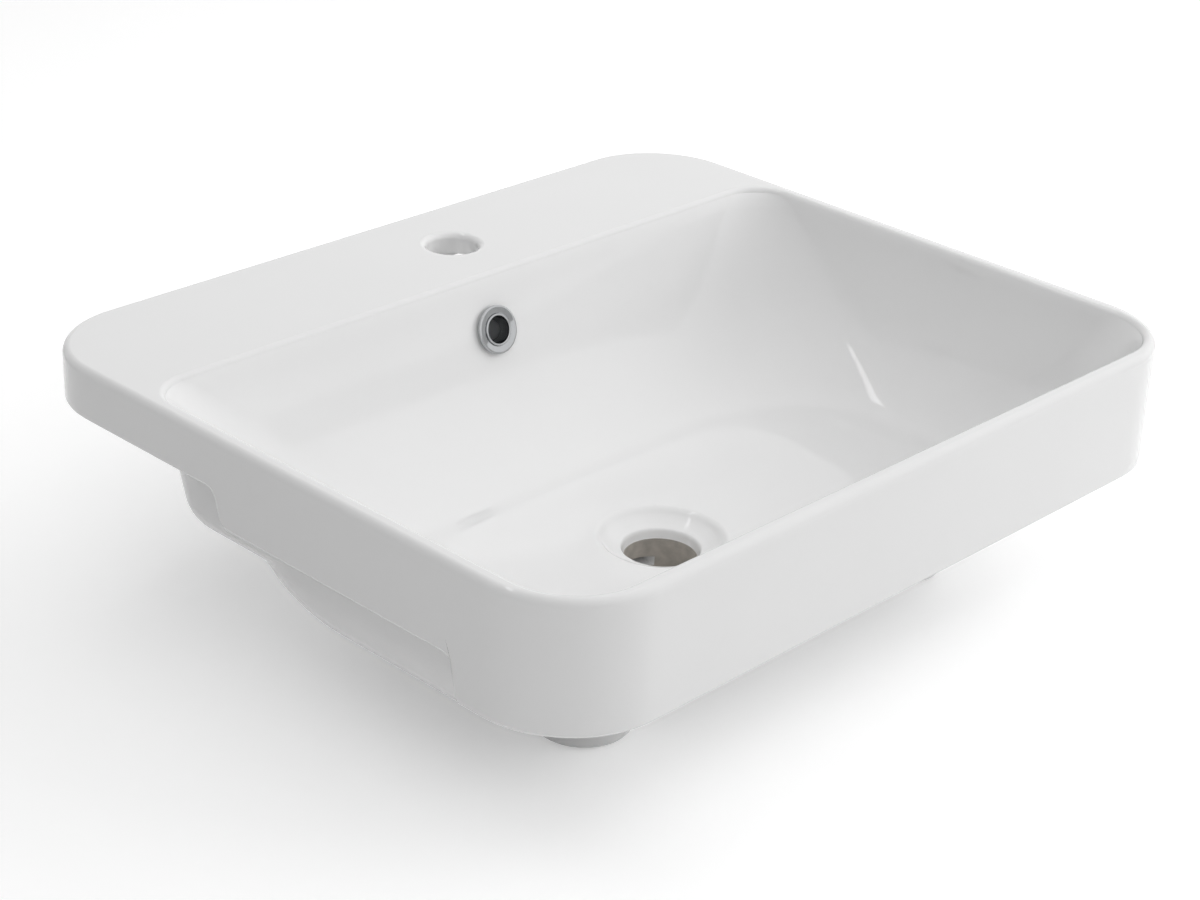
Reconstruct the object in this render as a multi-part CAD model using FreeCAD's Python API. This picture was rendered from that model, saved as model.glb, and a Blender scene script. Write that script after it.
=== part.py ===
import FreeCAD, Part
import math
import os

# Semi recessed basin in vitreous china, with the trim of its overflow.
# Millimetres. +Z is up, +X is to the right of a person at the basin, +Y points to the wall.
# The origin is under the middle of the basin, on the plane that its feet stand on.

# --- driving dimensions: the outline ---
WIDTH = 560.0
DEPTH = 470.0
RIM_Z = 166.0
PLAN_RADIUS = 64.0
APRON_REAR = 34.0
APRON_MIDDLE = 56.0
APRON_FRONT = 82.0
REAR_STEP_Y = 48.0
FRONT_STEP_Y = -148.0
STEP_LEAN = 3.5
STEP_RADIUS = 8.0
TOP_EDGE_RADIUS = 5.0
SKIRT_THICKNESS = 13.0
DECK_THICKNESS = 14.0

# --- driving dimensions: the bowl's inside ---
RIM_THICKNESS = 12.0
BOWL_BACK_Y = 124.5
BOWL_BACK_RADIUS = 26.0
BOWL_FRONT_RADIUS = 44.0
BOWL_DEPTH = 112.0
WALL_DRAFT = 16.0
FRONT_WALL_DRAFT = 14.0
BACK_WALL_LEAN = 38.0
BOWL_FLOOR_RADIUS = 136.0
BOWL_BOTTOM_BLEND = 54.0
BOWL_LIP_RADIUS = 4.0
FLOOR_FALL = 12.0

# --- driving dimensions: the bowl's outside ---
BOWL_WALL = 11.0
LEDGE_X = 268.5
LEDGE_RADIUS = 37.0
LEDGE_DEPTH = 78.0
LEDGE_BLEND = 16.0
BELLY_TOP_X = 270.0
BELLY_DRAFT = 4.0
BELLY_DEPTH = 127.0
BELLY_REAR_RADIUS = 116.0
BELLY_FRONT_TOP_RADIUS = 70.0
BELLY_FRONT_BOTTOM_RADIUS = 100.0
BELLY_BACK_Y = 135.5
BELLY_BACK_LEAN = 51.0
BELLY_BLEND = 64.0

# --- driving dimensions: the waste outlet ---
DRAIN_Y = -42.0
SEAT_LIP_RADIUS = 43.0
SEAT_RADIUS = 26.0
SEAT_DEPTH = 8.0
THROAT_DEPTH = 14.5
WASTE_HOLE_RADIUS = 23.5
OUTLET_BOSS_RADIUS = 50.0
OUTLET_BOSS_Z = 4.0

# --- driving dimensions: tap hole, overflow and feet ---
TAP_X = 22.0
TAP_Y = 178.0
TAP_HOLE_RADIUS = 17.5
TAP_LIP_RADIUS = 4.0
OVERFLOW_DROP = 34.5
OVERFLOW_HOLE_RADIUS = 11.5
DUCT_WIDTH = 30.0
DUCT_GAP = 12.0
DUCT_SHELL = 8.0
DUCT_END_TOP_Z = 18.0
DUCT_END_Z = 10.0
FOOT_RADIUS = 31.0
FOOT_DRAFT = 4.0
FOOT_ROUND = 7.0
FRONT_FOOT = (146.0, -118.0)
REAR_FOOT = (112.0, 38.0)

# --- driving dimensions: the overflow trim ---
FLANGE_RADIUS = 16.0
FLANGE_THICKNESS = 3.2
FLANGE_BORE = 9.9
FLANGE_REBATE = 0.9
SLEEVE_RADIUS = 9.8
SLEEVE_BORE = 8.9
SLEEVE_LIP_RADIUS = 10.6
SLEEVE_LENGTH = 26.0
SLEEVE_SLIT = 1.6
GRIP_RADIUS = 11.2
GRIP_LENGTH = 7.0
GRIP_SETBACK = 2.0
GASKET_RADIUS = 14.6
GASKET_THICKNESS = 1.2

# --- worked out from the above ---
FRONT_Y = -DEPTH / 2
BACK_Y = DEPTH / 2
SIDE_X = WIDTH / 2
DECK_UNDERSIDE_Z = RIM_Z - DECK_THICKNESS
BOWL_X = SIDE_X - RIM_THICKNESS
BOWL_FRONT_Y = FRONT_Y + RIM_THICKNESS
FLOOR_Z = RIM_Z - BOWL_DEPTH
OUTLET_Z = FLOOR_Z - FLOOR_FALL
SEAT_Z = OUTLET_Z - SEAT_DEPTH
THROAT_Z = OUTLET_Z - THROAT_DEPTH
LEAN = BACK_WALL_LEAN / BOWL_DEPTH
LEAN_ANGLE = math.atan(LEAN)
# the overflow's axis stands square to the back wall and points into the bowl
OVERFLOW_AXIS = FreeCAD.Vector(0, -math.cos(LEAN_ANGLE), math.sin(LEAN_ANGLE))
OVERFLOW_CENTRE = FreeCAD.Vector(0, BOWL_BACK_Y - LEAN * OVERFLOW_DROP, RIM_Z - OVERFLOW_DROP)
UP = FreeCAD.Vector(0, 0, 1)


def vector(x, y, z):
    return FreeCAD.Vector(x, y, z)


def rounded_outline(half_x, front_y, back_y, front_radius, back_radius, z):
    """A closed plan outline of four sides and four arcs, symmetrical about X = 0."""
    def corner(centre_x, centre_y, radius, start):
        angles = [math.radians(start + turn) for turn in (0, 45, 90)]
        return [vector(centre_x + radius * math.cos(a), centre_y + radius * math.sin(a), z) for a in angles]

    front_in = half_x - front_radius
    back_in = half_x - back_radius
    corners = [
        corner(back_in, back_y - back_radius, back_radius, 0),
        corner(-back_in, back_y - back_radius, back_radius, 90),
        corner(-front_in, front_y + front_radius, front_radius, 180),
        corner(front_in, front_y + front_radius, front_radius, 270),
    ]
    edges = []
    for index, points in enumerate(corners):
        following = corners[(index + 1) % 4]
        edges.append(Part.Arc(*points).toShape())
        edges.append(Part.LineSegment(points[2], following[0]).toShape())
    return Part.Wire(edges)


def slab(outline, height):
    """The outline's face, extruded by height along Z."""
    return Part.Face(outline).extrude(vector(0, 0, height))


def rounded_profile(corners, x):
    """A closed wire in the plane X = x through (y, z, radius) corners, each rounded by its radius."""
    rounded = []
    for index, (y, z, radius) in enumerate(corners):
        point = vector(x, y, z)
        if radius == 0:
            rounded.append([point])
            continue
        following = corners[(index + 1) % len(corners)]
        before = (vector(x, corners[index - 1][0], corners[index - 1][1]) - point).normalize()
        after = (vector(x, following[0], following[1]) - point).normalize()
        half = before.getAngle(after) / 2
        reach = radius / math.tan(half)
        middle = (before + after).normalize()
        nearest = point + middle * (radius / math.sin(half) - radius)
        rounded.append([point + before * reach, nearest, point + after * reach])
    edges = []
    for index, points in enumerate(rounded):
        if len(points) == 3:
            edges.append(Part.Arc(*points).toShape())
        following = rounded[(index + 1) % len(rounded)]
        edges.append(Part.LineSegment(points[-1], following[0]).toShape())
    return Part.Wire(edges)


def prism(corners, half_width):
    """A rounded profile in the YZ plane, extruded across X to both sides."""
    face = Part.Face(rounded_profile(corners, -half_width))
    return face.extrude(vector(2 * half_width, 0, 0))


def turned(profile, centre, axis):
    """A solid of revolution: (radius, height) points turned about axis through centre."""
    points = [vector(radius, 0, height) for radius, height in profile]
    points.append(points[0])
    solid = Part.Face(Part.makePolygon(points)).revolve(vector(0, 0, 0), UP, 360)
    solid.Placement = FreeCAD.Placement(centre, FreeCAD.Rotation(UP, axis))
    return solid


def edges_where(shape, test):
    """The edges of shape whose vertices and middle all pass the test."""
    chosen = []
    for edge in shape.Edges:
        middle = edge.valueAt((edge.FirstParameter + edge.LastParameter) / 2)
        points = [vertex.Point for vertex in edge.Vertexes] + [middle]
        if all(test(point) for point in points):
            chosen.append(edge)
    return chosen


def rounded_vessel(top, bottom, blend):
    """A ruled solid between two plan outlines, with the edge of its bottom rounded by blend."""
    solid = Part.makeLoft([top, bottom], True, True)
    floor_z = bottom.BoundBox.ZMin
    return solid.makeFillet(blend, edges_where(solid, lambda p: abs(p.z - floor_z) < 0.01))


def bowl_space():
    """The space that holds the water: steep walls, a leaning back wall and a soft floor edge."""
    top = rounded_outline(
        BOWL_X,
        BOWL_FRONT_Y,
        BOWL_BACK_Y,
        BOWL_FRONT_RADIUS,
        BOWL_BACK_RADIUS,
        RIM_Z,
    )
    bottom = rounded_outline(
        BOWL_X - WALL_DRAFT,
        BOWL_FRONT_Y + FRONT_WALL_DRAFT,
        BOWL_BACK_Y - BACK_WALL_LEAN,
        BOWL_FLOOR_RADIUS,
        BOWL_FLOOR_RADIUS,
        FLOOR_Z,
    )
    return rounded_vessel(top, bottom, BOWL_BOTTOM_BLEND)


def floor_fall():
    """The shallow fall of the bowl's floor down to the waste outlet."""
    inset = BOWL_BOTTOM_BLEND
    radius = BOWL_FLOOR_RADIUS - BOWL_BOTTOM_BLEND
    flat = rounded_outline(
        BOWL_X - WALL_DRAFT - inset,
        BOWL_FRONT_Y + FRONT_WALL_DRAFT + inset,
        BOWL_BACK_Y - BACK_WALL_LEAN - inset,
        radius,
        radius,
        FLOOR_Z + 0.01,
    )
    mouth_radius = SEAT_LIP_RADIUS + 6
    mouth = rounded_outline(
        mouth_radius,
        DRAIN_Y - mouth_radius,
        DRAIN_Y + mouth_radius,
        mouth_radius - 1,
        mouth_radius - 1,
        OUTLET_Z,
    )
    return Part.makeLoft([flat, mouth], True, True)


def ledge():
    """The upper part of the bowl's outer wall, which fills the cut-out of the counter."""
    lean = LEAN * LEDGE_DEPTH
    top = rounded_outline(
        LEDGE_X,
        BOWL_FRONT_Y,
        BELLY_BACK_Y,
        BELLY_FRONT_TOP_RADIUS,
        LEDGE_RADIUS,
        DECK_UNDERSIDE_Z + 6,
    )
    bottom = rounded_outline(
        LEDGE_X,
        BOWL_FRONT_Y,
        BELLY_BACK_Y - lean,
        BELLY_FRONT_TOP_RADIUS,
        LEDGE_RADIUS,
        RIM_Z - LEDGE_DEPTH,
    )
    return rounded_vessel(top, bottom, LEDGE_BLEND)


def belly():
    """The round outside of the bowl below the ledge."""
    top = rounded_outline(
        BELLY_TOP_X,
        BOWL_FRONT_Y - BOWL_WALL,
        BELLY_BACK_Y,
        BELLY_FRONT_TOP_RADIUS,
        BELLY_REAR_RADIUS,
        DECK_UNDERSIDE_Z + 6,
    )
    bottom = rounded_outline(
        BELLY_TOP_X - BELLY_DRAFT,
        BOWL_FRONT_Y - BOWL_WALL + FRONT_WALL_DRAFT,
        BELLY_BACK_Y - BELLY_BACK_LEAN,
        BELLY_FRONT_BOTTOM_RADIUS,
        BELLY_REAR_RADIUS,
        RIM_Z - BELLY_DEPTH,
    )
    return rounded_vessel(top, bottom, BELLY_BLEND)


def outer_block():
    """The rim, deck and apron as one block, with the two steps of its underside."""
    front_z = RIM_Z - APRON_FRONT
    middle_z = RIM_Z - APRON_MIDDLE
    rear_z = RIM_Z - APRON_REAR
    below = front_z - 40
    lean = 2 * STEP_LEAN / (APRON_FRONT - APRON_MIDDLE)
    steps = [
        (FRONT_STEP_Y + STEP_LEAN - lean * (middle_z - below), below, 0),
        (FRONT_STEP_Y + STEP_LEAN, middle_z, STEP_RADIUS),
        (REAR_STEP_Y - STEP_LEAN, middle_z, STEP_RADIUS),
        (REAR_STEP_Y + STEP_LEAN, rear_z, STEP_RADIUS),
        (BACK_Y + 20, rear_z, 0),
        (BACK_Y + 20, below, 0),
    ]
    outline = rounded_outline(SIDE_X, FRONT_Y, BACK_Y, PLAN_RADIUS, PLAN_RADIUS, front_z)
    block = slab(outline, APRON_FRONT)
    block = block.makeFillet(TOP_EDGE_RADIUS, edges_where(block, lambda p: abs(p.z - RIM_Z) < 0.01))
    return block.cut(prism(steps, SIDE_X + 20))


def skirt_space():
    """The space inside the apron, from below up to the underside of the deck."""
    inner_radius = PLAN_RADIUS - SKIRT_THICKNESS
    outline = rounded_outline(
        SIDE_X - SKIRT_THICKNESS,
        FRONT_Y + SKIRT_THICKNESS,
        BACK_Y - SKIRT_THICKNESS,
        inner_radius,
        inner_radius,
        -20,
    )
    return slab(outline, DECK_UNDERSIDE_Z + 20)


def duct_profile(back_gap, front_gap, top_z, end_heights, front_radius, back_radius):
    """The overflow duct's side view, set off from the bowl's inner back wall, down to the outlet."""
    stretch = math.hypot(1, LEAN)
    back = BOWL_BACK_Y + back_gap * stretch
    front = BOWL_BACK_Y + front_gap * stretch
    under = OUTLET_Z - back_gap
    over = OUTLET_Z - front_gap

    def wall_y(start, z):
        return start - LEAN * (RIM_Z - z)

    return [
        (wall_y(back, top_z), top_z, 2),
        (wall_y(front, top_z), top_z, 2),
        (wall_y(front, over), over, front_radius),
        (DRAIN_Y, end_heights[1], 0),
        (DRAIN_Y, end_heights[0], 0),
        (wall_y(back, under), under, back_radius),
    ]


def duct_shell():
    """The ceramic round the overflow duct, on the outside of the bowl."""
    reach = BOWL_WALL + DUCT_GAP + DUCT_SHELL
    heights = (OUTLET_BOSS_Z + 1, OUTLET_Z - 4)
    corners = duct_profile(reach, 2, DECK_UNDERSIDE_Z + 6, heights, BOWL_BOTTOM_BLEND - 2, 30)
    return prism(corners, DUCT_WIDTH / 2 + DUCT_SHELL)


def duct_passage():
    """The hollow that carries overflow water down to the side of the waste hole."""
    reach = BOWL_WALL + DUCT_GAP
    heights = (DUCT_END_Z, DUCT_END_TOP_Z)
    corners = duct_profile(reach, BOWL_WALL, OVERFLOW_CENTRE.z + 14, heights, 10, 22)
    return prism(corners, DUCT_WIDTH / 2)


def foot(x, y):
    """A round foot with a rounded lower edge, tall enough to run into the wall of the bowl."""
    column = Part.makeCone(FOOT_RADIUS, FOOT_RADIUS + FOOT_DRAFT, FLOOR_Z + 10, vector(x, y, 0), UP)
    return column.makeFillet(FOOT_ROUND, edges_where(column, lambda p: p.z < 0.01))


def outlet_boss():
    """The thick collar under the floor that the waste clamps to."""
    height = OUTLET_Z - OUTLET_BOSS_Z
    boss = Part.makeCylinder(OUTLET_BOSS_RADIUS, height, vector(0, DRAIN_Y, OUTLET_BOSS_Z), UP)
    return boss.makeFillet(2, edges_where(boss, lambda p: p.z < OUTLET_BOSS_Z + 0.01))


def outlet_cutter():
    """The rounded lip, the funnel that seats the waste flange and the waste hole, as one turned cutter."""
    profile = [
        (0, -5),
        (WASTE_HOLE_RADIUS, -5),
        (WASTE_HOLE_RADIUS, THROAT_Z),
        (SEAT_RADIUS - 0.5, SEAT_Z - 0.5),
        (SEAT_RADIUS, SEAT_Z),
    ]
    round_over = SEAT_LIP_RADIUS - SEAT_RADIUS
    for step in range(1, 7):
        angle = math.radians(15 * step)
        across = SEAT_RADIUS + round_over * (1 - math.cos(angle))
        profile.append((across, SEAT_Z + SEAT_DEPTH * math.sin(angle)))
    profile.append((SEAT_LIP_RADIUS, OUTLET_Z + 8))
    profile.append((0, OUTLET_Z + 8))
    return turned(profile, vector(0, DRAIN_Y, 0), UP)


def tap_hole_cutter():
    """The tap hole with its rounded upper lip."""
    start_z = RIM_Z - TAP_LIP_RADIUS
    below = DECK_UNDERSIDE_Z - 30
    profile = [(0, below), (TAP_HOLE_RADIUS, below)]
    for step in range(7):
        angle = math.radians(15 * step)
        across = TAP_HOLE_RADIUS + TAP_LIP_RADIUS * (1 - math.cos(angle))
        profile.append((across, start_z + TAP_LIP_RADIUS * math.sin(angle)))
    profile.append((TAP_HOLE_RADIUS + TAP_LIP_RADIUS, RIM_Z + 5))
    profile.append((0, RIM_Z + 5))
    return turned(profile, vector(TAP_X, TAP_Y, 0), UP)


def overflow_hole_cutter():
    """The round hole through the back wall into the overflow duct."""
    start = OVERFLOW_CENTRE + OVERFLOW_AXIS * 20
    return Part.makeCylinder(OVERFLOW_HOLE_RADIUS, BOWL_WALL + 24, start, OVERFLOW_AXIS * -1)


def on_bowl_edge(point):
    """True for a point of the edge between the flat top and the bowl."""
    across = abs(point.x) < BOWL_X + 1
    along = BOWL_FRONT_Y - 1 < point.y < BOWL_BACK_Y + 1
    return abs(point.z - RIM_Z) < 0.01 and across and along


def basin_body():
    """The fired body: rim, deck, stepped apron, bowl, outlet, duct and feet in one casting."""
    body = outer_block().cut(skirt_space())
    body = body.fuse([ledge(), belly(), duct_shell(), outlet_boss()])
    for side in (-1, 1):
        for x, y in (FRONT_FOOT, REAR_FOOT):
            body = body.fuse(foot(side * x, y))
    body = body.cut(bowl_space())
    body = body.makeFillet(BOWL_LIP_RADIUS, edges_where(body, on_bowl_edge))
    cutters = [floor_fall(), outlet_cutter(), duct_passage(), tap_hole_cutter(), overflow_hole_cutter()]
    for cutter in cutters:
        body = body.cut(cutter)
    return body


def overflow_flange():
    """The bright ring that covers the edge of the overflow hole."""
    back = GASKET_THICKNESS
    front = back + FLANGE_THICKNESS
    rebate_radius = SLEEVE_LIP_RADIUS + 0.2
    profile = [
        (FLANGE_BORE, back),
        (FLANGE_RADIUS, back),
        (FLANGE_RADIUS, front - 1.2),
        (FLANGE_RADIUS - 0.5, front - 0.4),
        (FLANGE_RADIUS - 1.4, front),
        (rebate_radius, front),
        (rebate_radius, front - FLANGE_REBATE),
        (FLANGE_BORE, front - FLANGE_REBATE),
    ]
    return turned(profile, OVERFLOW_CENTRE, OVERFLOW_AXIS)


def overflow_sleeve():
    """The split tube that springs into the hole and holds the flange by its turned lip."""
    front = GASKET_THICKNESS + FLANGE_THICKNESS
    back = front - SLEEVE_LENGTH
    profile = [
        (SLEEVE_BORE, back),
        (SLEEVE_RADIUS, back),
        (SLEEVE_RADIUS, front - FLANGE_REBATE),
        (SLEEVE_LIP_RADIUS, front - FLANGE_REBATE),
        (SLEEVE_LIP_RADIUS, front - 0.1),
        (SLEEVE_LIP_RADIUS - 0.4, front + 0.3),
        (SLEEVE_BORE + 0.3, front + 0.3),
        (SLEEVE_BORE, front),
    ]
    slit = Part.makeBox(SLEEVE_RADIUS + 4, SLEEVE_SLIT, SLEEVE_LENGTH + 4)
    slit.translate(vector(0, -SLEEVE_SLIT / 2, back - 2))
    turn = FreeCAD.Placement(OVERFLOW_CENTRE, FreeCAD.Rotation(UP, OVERFLOW_AXIS))
    slit.Placement = turn.multiply(slit.Placement)
    return turned(profile, OVERFLOW_CENTRE, OVERFLOW_AXIS).cut(slit)


def overflow_gasket():
    """The thin soft washer between the flange and the glaze."""
    bore = FLANGE_BORE + 0.2
    profile = [
        (bore, 0),
        (GASKET_RADIUS, 0),
        (GASKET_RADIUS, GASKET_THICKNESS),
        (bore, GASKET_THICKNESS),
    ]
    return turned(profile, OVERFLOW_CENTRE, OVERFLOW_AXIS)


def overflow_grip():
    """The rubber band that fills the space between the sleeve and the hole."""
    back = -GRIP_SETBACK - GRIP_LENGTH
    profile = [
        (SLEEVE_RADIUS, back),
        (GRIP_RADIUS, back),
        (GRIP_RADIUS, -GRIP_SETBACK),
        (SLEEVE_RADIUS, -GRIP_SETBACK),
    ]
    return turned(profile, OVERFLOW_CENTRE, OVERFLOW_AXIS)


def main():
    os.makedirs("parts", exist_ok=True)
    pieces = {
        "basin_body": basin_body(),
        "overflow_flange": overflow_flange(),
        "overflow_sleeve": overflow_sleeve(),
        "overflow_gasket": overflow_gasket(),
        "overflow_grip": overflow_grip(),
    }
    for name, shape in pieces.items():
        shape.exportStep(os.path.join("parts", name + ".step"))
        box = shape.BoundBox
        size = [round(length, 1) for length in (box.XLength, box.YLength, box.ZLength)]
        print(name, shape.isValid(), len(shape.Solids), round(shape.Volume / 1000, 1), size)


main()
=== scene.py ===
import bisect
import math

import bmesh
import bpy
from mathutils import Matrix, Vector


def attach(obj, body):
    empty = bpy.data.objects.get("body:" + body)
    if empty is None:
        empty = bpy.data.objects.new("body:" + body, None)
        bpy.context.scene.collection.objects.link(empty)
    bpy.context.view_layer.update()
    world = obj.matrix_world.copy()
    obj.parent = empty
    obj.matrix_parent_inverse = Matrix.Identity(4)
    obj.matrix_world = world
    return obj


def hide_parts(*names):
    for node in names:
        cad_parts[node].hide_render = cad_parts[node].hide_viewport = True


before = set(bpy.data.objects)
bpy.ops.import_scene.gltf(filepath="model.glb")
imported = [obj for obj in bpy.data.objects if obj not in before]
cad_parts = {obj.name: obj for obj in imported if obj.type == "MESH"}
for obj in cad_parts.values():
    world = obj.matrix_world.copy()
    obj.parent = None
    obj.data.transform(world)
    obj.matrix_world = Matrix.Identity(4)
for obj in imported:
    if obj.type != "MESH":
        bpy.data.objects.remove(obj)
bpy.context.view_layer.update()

bl_info = {
    "name": "Semi recessed basin",
    "version": (1, 0, 0),
    "blender": (4, 5, 0),
    "location": "View3D > Sidebar > Basin",
    "description": "Builds a glazed semi recessed basin with its overflow trim and a studio stage",
    "category": "Add Mesh",
}

# All lengths are metres in the frame of the CAD part: +Z up, +Y to the wall, the origin under the
# middle of the basin on the plane of its feet. Pairs that describe a profile are (radius, height).
UP = Vector((0, 0, 1))

# How finely the pieces are divided, and the angles in degrees over which their edges are sharp.
CORNER_SPANS = 18
FRONT_SPANS = 30
ARC_SPANS = 7
SIDE_GAP = 0.011
WALL_SPANS = 9
BLEND_SPANS = 16
FLOOR_SPANS = 12
TURNED_SPANS = 96
BODY_SHARP = 40.0
TRIM_SHARP = 50.0

# The apron's lower edge: where each step starts and ends from front to back, with its radii there.
FRONT_STEP = ((-0.1515, 0.003), (-0.1445, 0.005))
REAR_STEP = ((0.0445, 0.008), (0.0515, 0.008))
# The skirt's inner lower edge as (distance from its inside, height over its end).
SKIRT_FOOT = ((0.0, 0.002), (0.0006, 0.0006), (0.002, 0.0))

# The bowl: how far its walls lean in by the floor, its corner radii as (at the rim, growth), and
# the depth where its wall starts under the lip.
SIDE_LEAN = 0.016
FRONT_LEAN = 0.014
FRONT_CORNER = (0.044, 0.092)
BACK_CORNER = (0.026, 0.110)
WALL_START = 0.006

# The outlet: its lip and funnel as (share of the width, share of the depth), and the neck under
# them as (share of the width, depth).
OUTLET_LIP = ((0.93, 0.02), (0.86, 0.07), (0.79, 0.16), (0.73, 0.27), (0.68, 0.38))
OUTLET_FUNNEL = ((0.60, 0.52), (0.45, 0.68), (0.28, 0.84), (0.12, 0.95), (0.0, 1.0))
OUTLET_NECK = ((0.82, 0.0085), (0.55, 0.0092), (0.4, 0.0110), (0.16, 0.0138), (0.0, 0.0145))
# Under the neck: the edge of the glaze as (step outwards, drop), the heights of the waste hole
# and of the boss round it, and the boss's top, which runs into the underside of the bowl.
GLAZE_EDGE = ((0.0004, 0.0002), (0.0004, 0.0007), (0.0, 0.0009))
HOLE_MIDDLE = 0.016
HOLE_CHAMFER = 0.0015
BOSS_END = 0.004
BOSS_ROUND = 0.002
BOSS_FILLET = ((0.0, 0.004), (0.0012, 0.0012), (0.004, 0.0))

# The outside of the bowl. The belly and the ledge start at one depth and share one back line, and
# the points of every ring lie in the directions that the ledge's points have at one depth.
OUTSIDE_TOP = 0.008
OUTSIDE_BACK = 0.1355
OUTSIDE_MIDDLE_Y = -0.04
DIRECTIONS_DEPTH = 0.04
LEDGE_SIDE_DEPTHS = (0.045, 0.030)
BELLY_HALF = 0.270
BELLY_FRONT = -0.234
BELLY_SIDE_LEAN = 0.004
BELLY_FRONT_LEAN = 0.014
BELLY_BACK_LEAN = 0.051
BELLY_FRONT_CORNER = (0.070, 0.030)
BELLY_FRONT_LOSS = 0.06
BELLY_BACK_CORNER = 0.116
LEDGE_HALF = 0.2685
LEDGE_FRONT = -0.223
LEDGE_BACK_SLOPE = 0.378
LEDGE_CORNERS = (0.070, 0.037)

# The feet: where two of them stand, mirrored to the left, and their profile.
FOOT_PLACES = ((0.146, -0.118), (0.112, 0.038))
FOOT_ROUND = 0.007
FOOT_WAIST = (0.001, 0.018)
FOOT_TOP = (0.004, 0.064)
# How far outside the bowl's face they end, as a growth in plan and a drop.
WALL_GROWTH = 1.012
WALL_DROP = 0.0025

# The tap hole's rounded lip, how deep its cutter goes and where that ends over the rim, then the
# overflow's drop below the rim and its hole.
TAP_LIP = 0.004
TAP_DEPTH = 0.04
TAP_END = (0.001, 0.003)
OVERFLOW_DROP = 0.0345
OVERFLOW_HOLE = ((0.0115, -0.015), (0.0115, 0.01))

# The overflow's ring and tube, in the frame of the hole: height 0 on the glaze, up into the bowl.
RING_BACK = ((0.0101, 0.0013), (0.0158, 0.0013))
RING_EDGE = (0.0152, 0.0034)
RING_DISH = (
    (0.0140, 0.0041),
    (0.0128, 0.0038),
    (0.0112, 0.0036),
    (0.0103, 0.0034),
    (0.0101, 0.0031),
)
TUBE_WALL = ((0.0089, -0.0216), (0.0098, -0.0216), (0.0098, 0.0034))
TUBE_EDGE = (0.0098, 0.0039)
TUBE_MOUTH = (0.0089, 0.0030)
TRIM_ROUND = 0.0008

# The stage: the floor's glow to the eye, the world's own light, and the lamps as
# (name, place, width, height, power, seen in reflections), all aimed at the basin's middle.
FLOOR_GLOW = 0.30
FLOOR_HALF = 9.0
FLOOR_DROP = 0.0002
WORLD_LIGHT = 0.05
LAMP_AIM = Vector((0, 0, 0.1))
LAMPS = (
    ("overhead", (0.0, 0.0, 2.4), 3.6, 3.6, 37.0, False),
    ("front right", (1.9, -1.7, 1.3), 2.4, 1.8, 35.0, False),
    ("front left", (-1.9, -2.0, 1.8), 2.4, 1.8, 21.0, False),
    ("right", (2.3, 0.2, 1.5), 2.4, 1.8, 15.0, False),
    ("back", (0.2, 2.3, 1.8), 2.8, 1.8, 9.0, False),
    ("strip", (-0.3, 0.9, 2.2), 1.6, 0.12, 1.6, True),
)

# The camera, with its angles in degrees and its lens in millimetres.
CAMERA_PLACE = (-1.09276, -1.00817, 0.81185)
CAMERA_AZIMUTH = -46.904
CAMERA_ELEVATION = 26.030
CAMERA_ROLL = 2.651
CAMERA_LENS = 78.74
CAMERA_SENSOR = 36.0


def length(name, default, description):
    """A property that holds a length in metres."""
    return bpy.props.FloatProperty(
        name=name, default=default, description=description, unit="LENGTH", precision=4
    )


def colour(name, default, description):
    """A property that holds a colour."""
    return bpy.props.FloatVectorProperty(
        name=name,
        default=default,
        description=description,
        subtype="COLOR",
        size=3,
        min=0.0,
        max=1.0,
    )


class BasinSizes(bpy.types.PropertyGroup):
    """The sizes of the ceramic body."""

    half_width: length("Half width", 0.280, "Half the width of the rim")
    half_depth: length("Half depth", 0.235, "Half the depth of the rim")
    rim: length("Rim height", 0.166, "Height of the rim above the feet")
    corner: length("Corner radius", 0.064, "Plan radius of the rim's corners")
    rim_width: length("Rim width", 0.012, "Width of the rim beside the bowl")
    deck_edge: length("Deck edge", 0.1245, "Where the rear deck meets the bowl")
    apron_rear: length("Rear apron", 0.034, "Apron height over the counter")
    apron_middle: length("Middle apron", 0.056, "Apron height between the steps")
    apron_front: length("Front apron", 0.082, "Apron height at the front")
    top_round: length("Top rounding", 0.005, "Radius of the outer top edge")
    lip_round: length("Bowl lip rounding", 0.004, "Radius of the edge between rim and bowl")
    edge_round: length("Lower rounding", 0.003, "Radius of the apron's lower edge")
    skirt: length("Skirt thickness", 0.013, "Thickness of the apron")
    deck: length("Deck thickness", 0.014, "Thickness of the rear deck")
    bowl_depth: length("Bowl depth", 0.112, "Depth of the bowl's floor at its edge")
    bowl_blend: length("Bowl blend", 0.054, "Radius between the bowl's walls and floor")
    back_lean: length("Back wall lean", 0.038, "How far the back wall leans in by the floor")
    floor_fall: length("Floor fall", 0.012, "Fall of the floor to the waste outlet")
    belly_depth: length("Belly depth", 0.127, "Depth of the underside of the bowl")
    belly_blend: length("Belly blend", 0.064, "Radius between the belly's side and underside")
    ledge_depth: length("Ledge depth", 0.078, "Depth of the ledge that fills the counter's cut-out")
    ledge_blend: length("Ledge blend", 0.016, "Radius of the ledge's lower edge")
    drain_y: length("Outlet place", -0.042, "Where the waste outlet lies from front to back")
    lip_radius: length("Outlet lip", 0.043, "Outer radius of the outlet's rounded lip")
    seat_radius: length("Outlet seat", 0.026, "Radius at the foot of the outlet's funnel")
    seat_depth: length("Outlet funnel", 0.008, "Depth of the outlet's funnel")
    throat_depth: length("Outlet throat", 0.0145, "Depth below the lip where the glaze ends")
    waste_radius: length("Waste hole", 0.0235, "Radius of the waste hole")
    boss_radius: length("Outlet boss", 0.050, "Radius of the boss under the outlet")
    tap_x: length("Tap hole offset", 0.022, "How far the tap hole lies to the right")
    tap_y: length("Tap hole place", 0.178, "Where the tap hole lies from front to back")
    tap_radius: length("Tap hole", 0.0175, "Radius of the tap hole")
    foot_radius: length("Foot radius", 0.031, "Radius of the four feet")


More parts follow.
